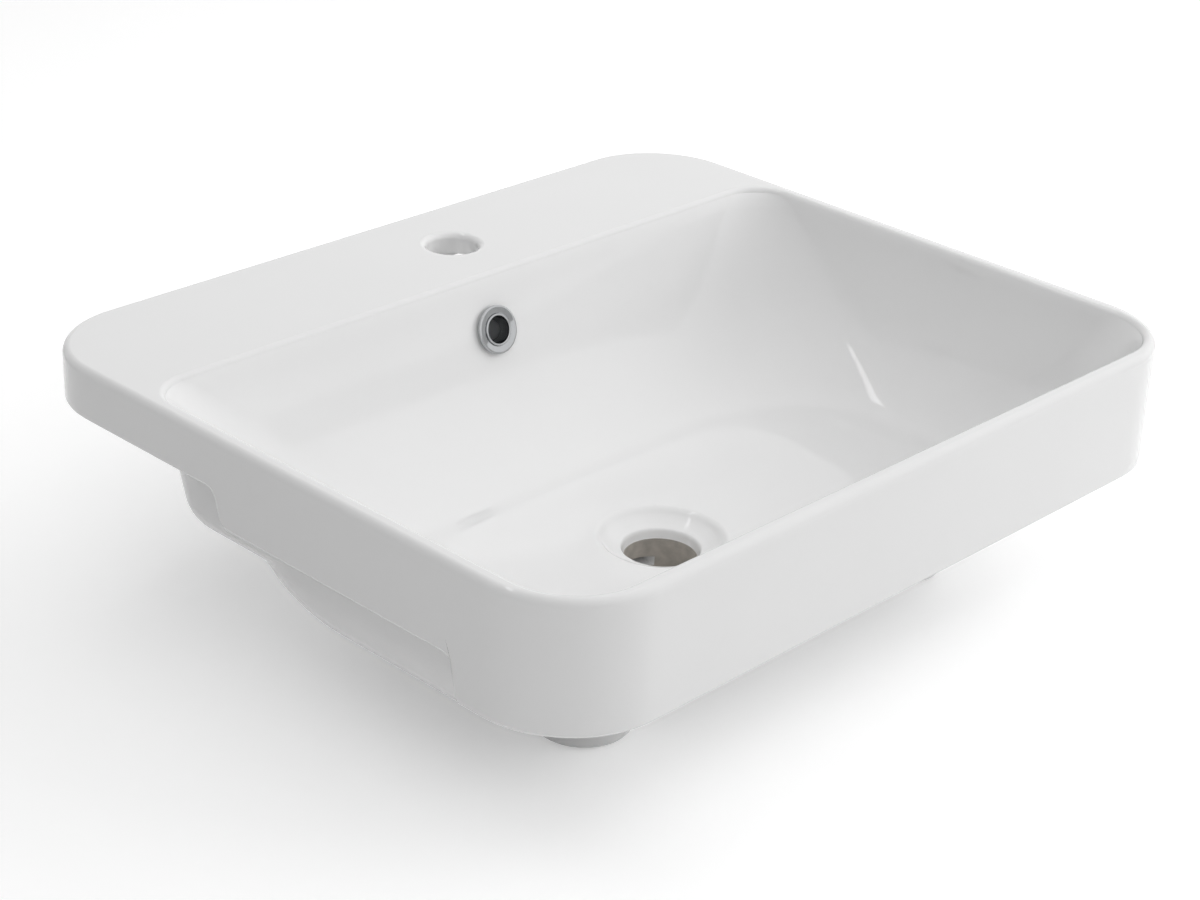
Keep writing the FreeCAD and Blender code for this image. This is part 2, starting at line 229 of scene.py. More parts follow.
class BasinFinish(bpy.types.PropertyGroup):
    """The colours of the basin and of the stage."""

    glaze: colour("Glaze", (0.86, 0.86, 0.86), "Colour of the white glaze")
    biscuit: colour("Biscuit", (0.46, 0.43, 0.39), "Colour of the unglazed body")
    chrome: colour("Chrome", (0.50, 0.51, 0.52), "Colour of the chromed trim")
    rubber: colour("Rubber", (0.025, 0.025, 0.026), "Colour of the gasket and the grip")
    ground: colour("Ground", (0.93, 0.93, 0.93), "Colour of the studio floor")


# --- shader helpers ---


class Value:
    """A shader socket that takes part in Python expressions; each operator adds its Math node."""

    def __init__(self, tree, socket):
        self.tree = tree
        self.socket = socket

    def math(self, operation, other):
        node = self.tree.add("ShaderNodeMath", {"operation": operation}, {0: self, 1: other})
        return Value(self.tree, node.outputs[0])

    def __add__(self, other):
        return self.math("ADD", other)

    def __mul__(self, other):
        return self.math("MULTIPLY", other)

    __radd__ = __add__
    __rmul__ = __mul__

    def between(self, low, high):
        """0 at low, 1 at high, held at both ends."""
        node = self.tree.add("ShaderNodeMapRange", {"clamp": True}, {0: self, 1: low, 2: high})
        return Value(self.tree, node.outputs[0])


class Tree:
    """A node tree under construction: add() makes any node from its settings and its inputs."""

    def __init__(self, tree):
        self.nodes = tree.nodes
        self.links = tree.links

    def add(self, kind, settings=None, inputs=None):
        node = self.nodes.new(kind)
        for key, value in (settings or {}).items():
            setattr(node, key, value)
        for key, value in (inputs or {}).items():
            self.feed(node.inputs[key], value)
        return node

    def feed(self, socket, value):
        """Links a socket to another one, or sets its value."""
        if isinstance(value, Value):
            value = value.socket
        if isinstance(value, bpy.types.NodeSocket):
            self.links.new(value, socket)
        else:
            socket.default_value = value

    def seen(self):
        """1 for the eye and for what mirrors and glass show of it, 0 for soft light."""
        path = self.add("ShaderNodeLightPath")
        seen = Value(self, path.outputs["Is Camera Ray"])
        for name in ("Is Glossy Ray", "Is Transmission Ray"):
            seen = seen.math("MAXIMUM", path.outputs[name])
        return seen


class Finish(Tree):
    """A material under construction, on its Principled shader."""

    def __init__(self, name):
        self.material = bpy.data.materials.new(name)
        self.material.use_nodes = True
        super().__init__(self.material.node_tree)
        self.shader = self.nodes["Principled BSDF"]

    def noise(self, scale, detail):
        """Smooth noise with about scale features in each metre of the piece."""
        place = self.add("ShaderNodeTexCoord").outputs["Object"]
        inputs = {"Vector": place, "Scale": scale, "Detail": detail, "Roughness": 0.5}
        return Value(self, self.add("ShaderNodeTexNoise", inputs=inputs).outputs[0])

    def mix(self, factor, first, second):
        """A colour between two colours."""
        inputs = {0: factor, 6: first, 7: second}
        return self.add("ShaderNodeMix", {"data_type": "RGBA"}, inputs).outputs[2]

    def bump(self, height, strength, distance):
        """Raises and sinks the surface by a height, in the shading alone."""
        inputs = {"Height": height, "Strength": strength, "Distance": distance}
        node = self.add("ShaderNodeBump", inputs=inputs)
        self.feed(self.shader.inputs["Normal"], node.outputs[0])

    def set(self, **values):
        """Feeds the shader's sockets by name, as in base_color, and returns the material."""
        for key, value in values.items():
            name = key.replace("_", " ").title().replace("Ior", "IOR")
            self.feed(self.shader.inputs[name], value)
        return self.material


def rgba(values, factor=1.0):
    """A colour with its alpha, made darker or lighter by a factor."""
    return tuple(channel * factor for channel in values) + (1.0,)


def glaze_material(finish):
    """White sanitary glaze: glassy, with a faint drift in tone and a slight swell."""
    glaze = Finish("white glaze")
    drift = glaze.noise(6.0, 3.0).between(0.35, 0.65)
    tone = glaze.mix(drift, rgba(finish.glaze, 0.985), rgba(finish.glaze))
    haze = 0.05 + glaze.noise(35.0, 2.0).between(0.3, 0.7) * 0.03
    swell = glaze.noise(14.0, 1.0) + glaze.noise(320.0, 2.0) * 0.012
    glaze.bump(swell, 0.35, 0.0006)
    return glaze.set(
        base_color=tone, roughness=haze, ior=1.52, coat_weight=0.25, coat_roughness=0.03
    )


def biscuit_material(finish):
    """Unglazed fired clay: matt, a little grainy and mottled."""
    clay = Finish("unglazed clay")
    mottle = clay.noise(160.0, 4.0).between(0.3, 0.7)
    tone = clay.mix(mottle, rgba(finish.biscuit, 0.82), rgba(finish.biscuit, 1.1))
    clay.bump(clay.noise(1500.0, 3.0), 0.5, 0.0002)
    return clay.set(base_color=tone, roughness=0.82)


def chrome_material(finish):
    """Polished chrome plate with the faintest haze."""
    plate = Finish("chrome plate")
    haze = plate.noise(220.0, 3.0).between(0.4, 0.8)
    tone = plate.mix(haze, rgba(finish.chrome), rgba(finish.chrome, 0.94))
    return plate.set(base_color=tone, metallic=1.0, roughness=0.06 + haze * 0.05)


def rubber_material(finish):
    """Dull black rubber."""
    rubber = Finish("black rubber")
    bloom = rubber.noise(400.0, 3.0).between(0.35, 0.75)
    tone = rubber.mix(bloom, rgba(finish.rubber), rgba(finish.rubber, 1.6))
    rubber.bump(rubber.noise(900.0, 2.0), 0.3, 0.0001)
    return rubber.set(base_color=tone, roughness=0.55 + bloom * 0.15)


def ground_material(finish):
    """A white studio floor that keeps shadows and glows a little to the eye and in reflections."""
    ground = Finish("studio floor")
    grain = ground.noise(3.0, 2.0).between(0.3, 0.7)
    tone = ground.mix(grain, rgba(finish.ground), rgba(finish.ground, 0.995))
    ground.set(base_color=tone, roughness=0.9, specular_ior_level=0.0)
    light = {"Color": rgba((1, 1, 1)), "Strength": ground.seen() * FLOOR_GLOW}
    glow = ground.add("ShaderNodeEmission", inputs=light)
    parts = {0: ground.shader.outputs[0], 1: glow.outputs[0]}
    both = ground.add("ShaderNodeAddShader", inputs=parts)
    ground.feed(ground.nodes["Material Output"].inputs["Surface"], both.outputs[0])
    return ground.material


# --- mesh helpers ---


def rounded_path(corners):
    """Points along a line through (y, z, radius) corners, each rounded by an arc of its radius."""
    points = [Vector(corners[0][:2])]
    for before, (y, z, radius), after in zip(corners, corners[1:], corners[2:]):
        corner = Vector((y, z))
        to_before = (Vector(before[:2]) - corner).normalized()
        to_after = (Vector(after[:2]) - corner).normalized()
        half = to_before.angle(to_after) / 2
        centre = corner + (to_before + to_after).normalized() * (radius / math.sin(half))
        start = corner + to_before * (radius / math.tan(half)) - centre
        end = corner + to_after * (radius / math.tan(half)) - centre
        turn = -start.angle_signed(end) / ARC_SPANS
        for step in range(ARC_SPANS + 1):
            points.append(centre + Matrix.Rotation(turn * step, 2) @ start)
    points.append(Vector(corners[-1][:2]))
    return points


def spread(points, gap):
    """The same path with points added so that no two are further apart than gap."""
    result = []
    for first, second in zip(points, points[1:]):
        spans = max(1, math.ceil((second - first).length / gap))
        result += [first.lerp(second, step / spans) for step in range(spans)]
    result.append(points[-1])
    return result


def apron_edge(sizes):
    """The apron's lower edge along a side as (y, z) points from front to back, with normals."""
    front_z = sizes.rim - sizes.apron_front
    middle_z = sizes.rim - sizes.apron_middle
    rear_z = sizes.rim - sizes.apron_rear
    straight_end = sizes.half_depth - sizes.corner
    (front_foot, front_foot_round), (front_head, front_head_round) = FRONT_STEP
    (rear_foot, rear_foot_round), (rear_head, rear_head_round) = REAR_STEP
    corners = [
        (-straight_end, front_z, 0),
        (front_foot, front_z, front_foot_round),
        (front_head, middle_z, front_head_round),
        (rear_foot, middle_z, rear_foot_round),
        (rear_head, rear_z, rear_head_round),
        (straight_end, rear_z, 0),
    ]
    path = spread(rounded_path(corners), SIDE_GAP)
    normals = []
    for index in range(len(path)):
        along = path[min(index + 1, len(path) - 1)] - path[max(index - 1, 0)]
        normals.append(Vector((-along.y, along.x)).normalized())
    return path, normals


def shares(sizes):
    """Where the rings' points lie along a straight side, from 0 at the front to 1 at the back."""
    path = apron_edge(sizes)[0]
    start = path[0].x
    span = path[-1].x - start
    last = len(path) - 1
    return [0.5 * (point.x - start) / span + 0.5 * i / last for i, point in enumerate(path)]


def arc(centre_x, centre_y, radius, start, z):
    """The points of one rounded corner, without its last."""
    points = []
    for step in range(CORNER_SPANS):
        angle = math.radians(start + 90 * step / CORNER_SPANS)
        x = centre_x + radius * math.cos(angle)
        y = centre_y + radius * math.sin(angle)
        points.append(Vector((x, y, z)))
    return points


def ring(sizes, half_x, front, back, front_radius, back_radius, z, side=None):
    """A rounded outline as points, counter-clockwise from the front of the right side.
    side gives the (y, z) points of both straight sides where they aren't level."""
    if side is None:
        first = front + front_radius
        span = back - back_radius - first
        side = [Vector((first + share * span, z)) for share in shares(sizes)]
    front_z = side[0].y
    back_z = side[-1].y
    front_in = half_x - front_radius
    back_in = half_x - back_radius
    right = [Vector((half_x, point.x, point.y)) for point in side[:-1]]
    left = [Vector((-half_x, point.x, point.y)) for point in reversed(side[1:])]
    steps = [step / FRONT_SPANS for step in range(FRONT_SPANS)]
    across_back = [Vector((back_in * (1 - 2 * step), back, back_z)) for step in steps]
    across_front = [Vector((front_in * (2 * step - 1), front, front_z)) for step in steps]
    return (
        right
        + arc(back_in, back - back_radius, back_radius, 0, back_z)
        + across_back
        + arc(-back_in, back - back_radius, back_radius, 90, back_z)
        + left
        + arc(-front_in, front + front_radius, front_radius, 180, front_z)
        + across_front
        + arc(front_in, front + front_radius, front_radius, 270, front_z)
    )


def rim_ring(sizes, inset, z, side=None):
    """A ring that follows the outside of the rim, set in by inset."""
    radius = sizes.corner - inset
    half_depth = sizes.half_depth - inset
    half_width = sizes.half_width - inset
    return ring(sizes, half_width, -half_depth, half_depth, radius, radius, z, side)


def apron_ring(sizes, inset, lift):
    """A ring along the apron's stepped lower edge, set in by inset and raised by lift."""
    path, normals = apron_edge(sizes)
    side = [point + normal * lift for point, normal in zip(path, normals)]
    return rim_ring(sizes, inset, 0, side)


def between(first, second, share):
    """A ring part of the way from one ring to another."""
    return [a.lerp(b, share) for a, b in zip(first, second)]


def bowl_ring(sizes, depth, inset):
    """A ring of the bowl's wall at a depth below the rim, set in by inset."""
    share = depth / sizes.bowl_depth
    half_x = sizes.half_width - sizes.rim_width - SIDE_LEAN * share - inset
    front = -sizes.half_depth + sizes.rim_width + FRONT_LEAN * share + inset
    back = sizes.deck_edge - sizes.back_lean * share - inset
    front_radius = FRONT_CORNER[0] + FRONT_CORNER[1] * share - inset
    back_radius = BACK_CORNER[0] + BACK_CORNER[1] * share - inset
    return ring(sizes, half_x, front, back, front_radius, back_radius, sizes.rim - depth)


def lip_ring(sizes, outset, rise):
    """A ring of the bowl's rounded lip, outset from its wall line and measured from the rim."""
    return [Vector((p.x, p.y, sizes.rim + rise)) for p in bowl_ring(sizes, 0.0, -outset)]


def around(outline, centre_y, radius, z):
    """A circle whose points lie in the same directions from the outlet as those of an outline."""
    centre = Vector((0, centre_y, z))
    points = []
    for point in outline:
        direction = Vector((point.x, point.y - centre_y, 0)).normalized()
        points.append(centre + direction * radius)
    return points


def rounding(radius, start, end, steps):
    """Pairs (radius * cos, radius * sin) over an arc given in degrees."""
    angles = [math.radians(start + (end - start) * step / steps) for step in range(steps + 1)]
    return [(radius * math.cos(angle), radius * math.sin(angle)) for angle in angles]


def vessel_inset(depth, full_depth, blend):
    """How far a wall has turned inwards at a depth, where its bottom edge is rounded by blend."""
    below = depth - (full_depth - blend)
    if below <= 0:
        return 0.0
    return blend - math.sqrt(max(0.0, blend * blend - below * below))


def belly_outline(sizes, depth):
    """The round belly under the bowl, at a depth below the rim."""
    share = (depth - OUTSIDE_TOP) / (sizes.belly_depth - OUTSIDE_TOP)
    inset = vessel_inset(depth, sizes.belly_depth, sizes.belly_blend)
    half_x = BELLY_HALF - BELLY_SIDE_LEAN * share - inset
    front = BELLY_FRONT + BELLY_FRONT_LEAN * share + inset
    back = OUTSIDE_BACK - BELLY_BACK_LEAN * share - inset
    loss = min(inset, BELLY_FRONT_LOSS)
    front_radius = BELLY_FRONT_CORNER[0] + BELLY_FRONT_CORNER[1] * share - loss
    back_radius = BELLY_BACK_CORNER - inset
    return ring(sizes, half_x, front, back, front_radius, back_radius, sizes.rim - depth)


def ledge_outline(sizes, depth):
    """The ledge under the deck, at a depth below the rim."""
    inset = vessel_inset(depth, sizes.ledge_depth, sizes.ledge_blend)
    half_x = LEDGE_HALF - inset
    front = LEDGE_FRONT + inset
    back = OUTSIDE_BACK - LEDGE_BACK_SLOPE * (depth - OUTSIDE_TOP) - inset
    front_radius, back_radius = (radius - inset for radius in LEDGE_CORNERS)
    return ring(sizes, half_x, front, back, front_radius, back_radius, sizes.rim - depth)


def bearing(point, middle):
    """The direction of a point as seen from the middle, in plan."""
    return math.atan2(point.y - middle.y, point.x - middle.x)


def crossings(outline, middle, bearings):
    """The places where an outline is crossed at the given bearings from the middle."""
    ordered = sorted(outline, key=lambda point: bearing(point, middle))
    angles = [bearing(point, middle) for point in ordered]
    places = []
    for angle in bearings:
        index = bisect.bisect(angles, angle) % len(angles)
        first = ordered[index - 1]
        second = ordered[index]
        ray = Vector((math.cos(angle), math.sin(angle)))
        share = (first.xy - middle.xy).cross(ray) / ray.cross(second.xy - first.xy)
        places.append(first.lerp(second, share))
    return places


def outside_ring(sizes, depth):
    """A ring of the bowl's outside: the ledge under the deck above, the round belly below."""
    middle = Vector((0, OUTSIDE_MIDDLE_Y, sizes.rim - depth))
    bearings = [bearing(point, middle) for point in ledge_outline(sizes, DIRECTIONS_DEPTH)]
    belly = crossings(belly_outline(sizes, depth), middle, bearings)
    if depth > sizes.ledge_depth:
        return belly
    ledge = crossings(ledge_outline(sizes, depth), middle, bearings)
    return [a if (a - middle).length > (b - middle).length else b for a, b in zip(belly, ledge)]


def first_loop(mesh, places):
    """A closed loop of vertices and edges."""
    loop = [mesh.verts.new(place) for place in places]
    for a, b in zip(loop, loop[1:] + loop[:1]):
        mesh.edges.new((a, b))
    return loop


def grow(mesh, loop, places, material=0):
    """Extrudes a closed loop of vertices and puts the new loop at places."""
    edges = [mesh.edges.get((a, b)) for a, b in zip(loop, loop[1:] + loop[:1])]
    made = bmesh.ops.extrude_edge_only(mesh, edges=edges)["geom"]
    new = {item for item in made if isinstance(item, bmesh.types.BMVert)}
    for face in (item for item in made if isinstance(item, bmesh.types.BMFace)):
        face.material_index = material
    result = []
    for vertex, place in zip(loop, places):
        ends = (edge.other_vert(vertex) for edge in vertex.link_edges)
        result.append(next(end for end in ends if end in new))
        result[-1].co = place
    return result


def circle(radius, z, count):
    """The points of a circle about Z."""
    turn = 2 * math.pi / count
    angles = [turn * step for step in range(count)]
    return [Vector((radius * math.cos(a), radius * math.sin(a), z)) for a in angles]


def turned_piece(profile, count=TURNED_SPANS):
    """A mesh of a closed ring turned about Z from (radius, height) points."""
    mesh = bmesh.new()
    start = loop = first_loop(mesh, circle(*profile[0], count))
    for radius, height in profile[1:] + profile[:1]:
        loop = grow(mesh, loop, circle(radius, height, count))
    bmesh.ops.remove_doubles(mesh, verts=start + loop, dist=1e-7)
    return mesh


def stacked_solid(loops):
    """A mesh of a solid whose sides run through loops of points, closed flat at both ends."""
    mesh = bmesh.new()
    loop = first_loop(mesh, loops[0])
    bmesh.ops.contextual_create(mesh, geom=loop)
    for places in loops[1:]:
        loop = grow(mesh, loop, places)
    bmesh.ops.contextual_create(mesh, geom=loop)
    return mesh


def turned_solid(profile, count=64):
    """A mesh of a solid turned about Z from (radius, height) points."""
    return stacked_solid([circle(radius, height, count) for radius, height in profile])


def finished(name, mesh, materials=(), sharp=BODY_SHARP):
    """A smooth-shaded object at the origin from a bmesh, with its faces outwards."""
    bmesh.ops.recalc_face_normals(mesh, faces=mesh.faces)
    data = bpy.data.meshes.new(name)
    mesh.to_mesh(data)
    mesh.free()
    for material in materials:
        data.materials.append(material)
    data.shade_smooth()
    data.set_sharp_from_angle(angle=math.radians(sharp))
    piece = bpy.data.objects.new(name, data)
    bpy.context.collection.objects.link(piece)
    return piece


def combine(piece, others, operation):
    """Joins other solids to a piece or cuts them out of it, and removes them."""
    group = bpy.data.collections.new("operands")
    for other in others:
        group.objects.link(other)
    modifier = piece.modifiers.new("combine", "BOOLEAN")
    modifier.operation = operation
    modifier.solver = "MANIFOLD"
    modifier.operand_type = "COLLECTION"
    modifier.collection = group
    graph = bpy.context.evaluated_depsgraph_get()
    data = bpy.data.meshes.new_from_object(piece.evaluated_get(graph))
    piece.modifiers.clear()
    piece.data = data
    for other in others:
        bpy.data.objects.remove(other)
    bpy.data.collections.remove(group)


def even_shading(piece):
    """Lets large flat faces keep their own normal beside a narrow rounding."""
    modifier = piece.modifiers.new("even shading", "WEIGHTED_NORMAL")
    modifier.keep_sharp = True
    modifier.weight = 60


def turn_to_overflow(sizes, mesh):
    """Carries a mesh turned about Z to the overflow, its axis pointing into the bowl."""
    slope = sizes.back_lean / sizes.bowl_depth
    lean = math.atan(slope)
    axis = Vector((0, -math.cos(lean), math.sin(lean)))
    centre = Vector((0, sizes.deck_edge - slope * OVERFLOW_DROP, sizes.rim - OVERFLOW_DROP))
    turn = UP.rotation_difference(axis).to_matrix().to_4x4()
    bmesh.ops.transform(mesh, matrix=Matrix.Translation(centre) @ turn, verts=mesh.verts)


# --- the pieces ---


class BASIN_OT_body(bpy.types.Operator):
    """Builds the glazed body: apron, rim, deck, bowl, outlet, belly, feet and overflow duct"""

    bl_idname = "basin.body"
    bl_label = "Ceramic body"

    def execute(self, context):
        sizes = context.scene.basin_sizes
        finish = context.scene.basin_finish
        upper = self.skirt_rings(sizes) + self.top_rings(sizes) + self.bowl_rings(sizes)
        outlet = self.outlet_rings(sizes)
        rings = upper + outlet + self.belly_rings(sizes)
        unglazed = range(len(upper) + 1, len(upper + outlet))
        mesh = bmesh.new()
        start = loop = first_loop(mesh, rings[0])
        for index, places in enumerate(rings[1:] + rings[:1], 1):
            loop = grow(mesh, loop, places, 1 if index in unglazed else 0)
        bmesh.ops.remove_doubles(mesh, verts=start + loop, dist=1e-6)
        materials = [glaze_material(finish), biscuit_material(finish)]
        body = finished("ceramic_body", mesh, materials)
        combine(body, [self.duct_shell(sizes)] + self.feet(sizes), "UNION")
        cutters = [self.duct_passage(sizes), self.tap_cutter(sizes), self.overflow_cutter(sizes)]
        combine(body, cutters, "DIFFERENCE")
        body.data.set_sharp_from_angle(angle=math.radians(BODY_SHARP))
        even_shading(body)
        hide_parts("basin_body")
        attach(body, "root")
        return {"FINISHED"}

    def skirt_rings(self, sizes):
        """From the underside of the deck down the inside of the skirt and round its lower edge."""
        inside_top = rim_ring(sizes, sizes.skirt, sizes.rim - sizes.deck)
        foot = [apron_ring(sizes, sizes.skirt - out, lift) for out, lift in SKIRT_FOOT]
        rings = [between(inside_top, foot[0], share) for share in (0, 0.33, 0.66, 1)] + foot[1:]
        radius = sizes.edge_round
        for across, along in rounding(radius, 270, 180, 5):
            rings.append(apron_ring(sizes, radius + across, radius + along))
        outside_low = rings[-1]
        outside_top = rim_ring(sizes, 0, sizes.rim - sizes.top_round)
        return rings + [between(outside_low, outside_top, share) for share in (0.25, 0.5, 0.75)]

    def top_rings(self, sizes):
        """Over the rounded top edge and across the flat rim to the bowl's lip."""
        radius = sizes.top_round
        rings = []
        for across, along in rounding(radius, 180, 90, 7):
            rings.append(rim_ring(sizes, radius + across, sizes.rim - radius + along))
        lip = sizes.lip_round
        for across, along in rounding(lip, 90, 10, 7):
            rings.append(lip_ring(sizes, lip - across, along - lip))
        return rings

    def wall_rings(self, sizes):
        """Down the bowl's walls and round their foot to the edge of the floor."""
        wall = sizes.bowl_depth - sizes.bowl_blend
        rings = []
        for step in range(WALL_SPANS + 1):
            rings.append(bowl_ring(sizes, WALL_START + (wall - WALL_START) * step / WALL_SPANS, 0))
        for across, along in rounding(sizes.bowl_blend, 0, 90, BLEND_SPANS)[1:]:
            rings.append(bowl_ring(sizes, wall + along, sizes.bowl_blend - across))
        return rings

    def bowl_rings(self, sizes):
        """Down the bowl's walls, across the floor and down the outlet to where the glaze ends."""
        rings = self.wall_rings(sizes)
        floor = rings[-1]
        floor_z = sizes.rim - sizes.bowl_depth
        target = around(floor, sizes.drain_y, sizes.lip_radius, floor_z)
        for step in range(1, FLOOR_SPANS + 1):
            share = step / FLOOR_SPANS
            fall = sizes.floor_fall * share * share * (3 - 2 * share)
            level = between(floor, target, share)
            rings.append([Vector((point.x, point.y, floor_z - fall)) for point in level])
        outlet_z = floor_z - sizes.floor_fall
        across = sizes.lip_radius - sizes.seat_radius
        for share, drop in OUTLET_LIP + OUTLET_FUNNEL:
            radius = sizes.seat_radius + across * share
            rings.append(around(floor, sizes.drain_y, radius, outlet_z - drop * sizes.seat_depth))
        across = sizes.seat_radius - sizes.waste_radius
        for share, drop in OUTLET_NECK:
            radius = sizes.waste_radius + across * share
            rings.append(around(floor, sizes.drain_y, radius, outlet_z - drop))
        return rings

    def outlet_rings(self, sizes):
        """Down the unglazed waste hole and round the end of the boss."""
        outline = bowl_ring(sizes, sizes.bowl_depth, sizes.bowl_blend)
        top_z = sizes.rim - sizes.bowl_depth - sizes.floor_fall - sizes.throat_depth
        radius = sizes.waste_radius
        profile = [(radius + out, top_z - drop) for out, drop in GLAZE_EDGE]
        profile += [
            (radius, HOLE_MIDDLE),
            (radius, BOSS_END + HOLE_CHAMFER),
            (radius + HOLE_CHAMFER, BOSS_END),
            (sizes.boss_radius - BOSS_ROUND, BOSS_END),
        ]
        return [around(outline, sizes.drain_y, radius, z) for radius, z in profile]

    def belly_rings(self, sizes):
        """Up the boss, out under the floor and up the outside of the bowl to the deck."""
        outline = outside_ring(sizes, sizes.belly_depth)
        under = sizes.rim - sizes.belly_depth
        boss = []
        for across, along in rounding(BOSS_ROUND, 300, 360, 3):
            boss.append((sizes.boss_radius - BOSS_ROUND + across, BOSS_END + BOSS_ROUND + along))
        boss += [(sizes.boss_radius + out, under - drop) for out, drop in BOSS_FILLET]
        rings = [around(outline, sizes.drain_y, radius, z) for radius, z in boss]
        rings += [between(rings[-1], outline, share) for share in (0.3, 0.65, 1)]
        start = sizes.belly_depth - sizes.belly_blend
        depths = [start + along for _, along in rounding(sizes.belly_blend, 86, 0, 18)]
        depths = [depth for depth in depths if depth > sizes.ledge_depth + 0.001]
        depths.append(sizes.ledge_depth + 0.0001)
        start = sizes.ledge_depth - sizes.ledge_blend
        depths += [start + along for _, along in rounding(sizes.ledge_blend, 90, 0, 9)]
        depths += [*LEDGE_SIDE_DEPTHS, sizes.deck]
        return rings + [outside_ring(sizes, depth) for depth in depths]

    def duct(self, sizes, name, gaps, end, heights, width, bends):
        """A solid that follows the back wall down and turns forward to the outlet.
        gaps are its distances from the bowl's inside, end is how far behind the outlet's middle it
        stops, heights are its top and those of its end, bends are (corner's number, radius)."""
        slope = sizes.back_lean / sizes.bowl_depth
        outlet_z = sizes.rim - sizes.bowl_depth - sizes.floor_fall
        side = -width / 2

        def on_wall(gap, z):
            y = sizes.deck_edge + gap * math.hypot(1, slope) - slope * (sizes.rim - z)
            return Vector((side, y, z))

        top_z, end_over, end_under = heights
        near, far = gaps
        corners = [
            on_wall(near, top_z),
            on_wall(near, outlet_z - near),
            Vector((side, sizes.drain_y + end, end_over)),
            Vector((side, sizes.drain_y + end, end_under)),
            on_wall(far, outlet_z - far),
            on_wall(far, top_z),
        ]
        mesh = bmesh.new()
        mesh.faces.new([mesh.verts.new(corner) for corner in corners])
        for index, radius in bends:
            vertex = min(mesh.verts, key=lambda v: (v.co - corners[index]).length)
            bmesh.ops.bevel(
                mesh,
                geom=[vertex],
                offset=radius,
                segments=10,
                profile=0.5,
                affect="VERTICES",
                material=-1,
            )
        made = bmesh.ops.extrude_face_region(mesh, geom=list(mesh.faces))["geom"]
        moved = [item for item in made if isinstance(item, bmesh.types.BMVert)]
        bmesh.ops.translate(mesh, verts=moved, vec=(width, 0, 0))
        return finished(name, mesh)

    def duct_shell(self, sizes):
        """The ceramic round the overflow duct, on the outside of the bowl."""
        return self.duct(
            sizes,
            "duct_shell",
            gaps=(0.002, 0.031),
            end=0.040,
            heights=(sizes.rim - sizes.deck + 0.006, 0.038, 0.007),
            width=0.046,
            bends=((1, 0.036), (4, 0.020)),
        )

    def duct_passage(self, sizes):
        """The hollow that carries overflow water down to the side of the waste hole."""
        return self.duct(
            sizes,
            "duct_passage",
            gaps=(0.011, 0.023),
            end=0.015,
            heights=(sizes.rim - 0.0205, 0.014, 0.008),
            width=0.030,
            bends=((1, 0.007), (4, 0.015)),
        )

    def feet(self, sizes):
        """Four round feet under the belly."""
        inner = sizes.foot_radius - FOOT_ROUND
        profile = [(inner, 0.0)]
        for across, along in rounding(FOOT_ROUND, 270, 360, 6)[1:]:
            profile.append((inner + across, FOOT_ROUND + along))
        profile += [(sizes.foot_radius + out, z) for out, z in (FOOT_WAIST, FOOT_TOP)]
        feet = []
        for x, y in FOOT_PLACES:
            for side in (-1, 1):
                mesh = turned_solid(profile)
                bmesh.ops.translate(mesh, verts=mesh.verts, vec=(side * x, y, 0))
                foot = finished("foot", mesh)
                combine(foot, [self.middle_of_wall(sizes)], "DIFFERENCE")
                feet.append(foot)
        return feet

    def middle_of_wall(self, sizes):
        """A solid whose surface runs inside the bowl's wall, where the feet end."""
        rings = self.bowl_rings(sizes)[: WALL_SPANS + BLEND_SPANS + FLOOR_SPANS]
        mesh = stacked_solid(rings)
        bmesh.ops.scale(mesh, verts=mesh.verts, vec=(WALL_GROWTH, WALL_GROWTH, 1))
        bmesh.ops.translate(mesh, verts=mesh.verts, vec=(0, 0, -WALL_DROP))
        return finished("middle_of_wall", mesh)

    def tap_cutter(self, sizes):
        """The tap hole with its rounded upper lip."""
        radius = sizes.tap_radius
        profile = [(radius, sizes.rim - TAP_DEPTH), (radius, sizes.rim - TAP_LIP)]
        for across, along in rounding(TAP_LIP, 180, 92, 8)[1:]:
            profile.append((radius + TAP_LIP + across, sizes.rim - TAP_LIP + along))
        profile.append((radius + TAP_LIP + TAP_END[0], sizes.rim + TAP_END[1]))
        mesh = turned_solid(profile, TURNED_SPANS)
        bmesh.ops.translate(mesh, verts=mesh.verts, vec=(sizes.tap_x, sizes.tap_y, 0))
        return finished("tap_cutter", mesh)

    def overflow_cutter(self, sizes):
        """The hole behind the overflow's ring."""
        mesh = turned_solid(OVERFLOW_HOLE)
        turn_to_overflow(sizes, mesh)
        return finished("overflow_cutter", mesh)


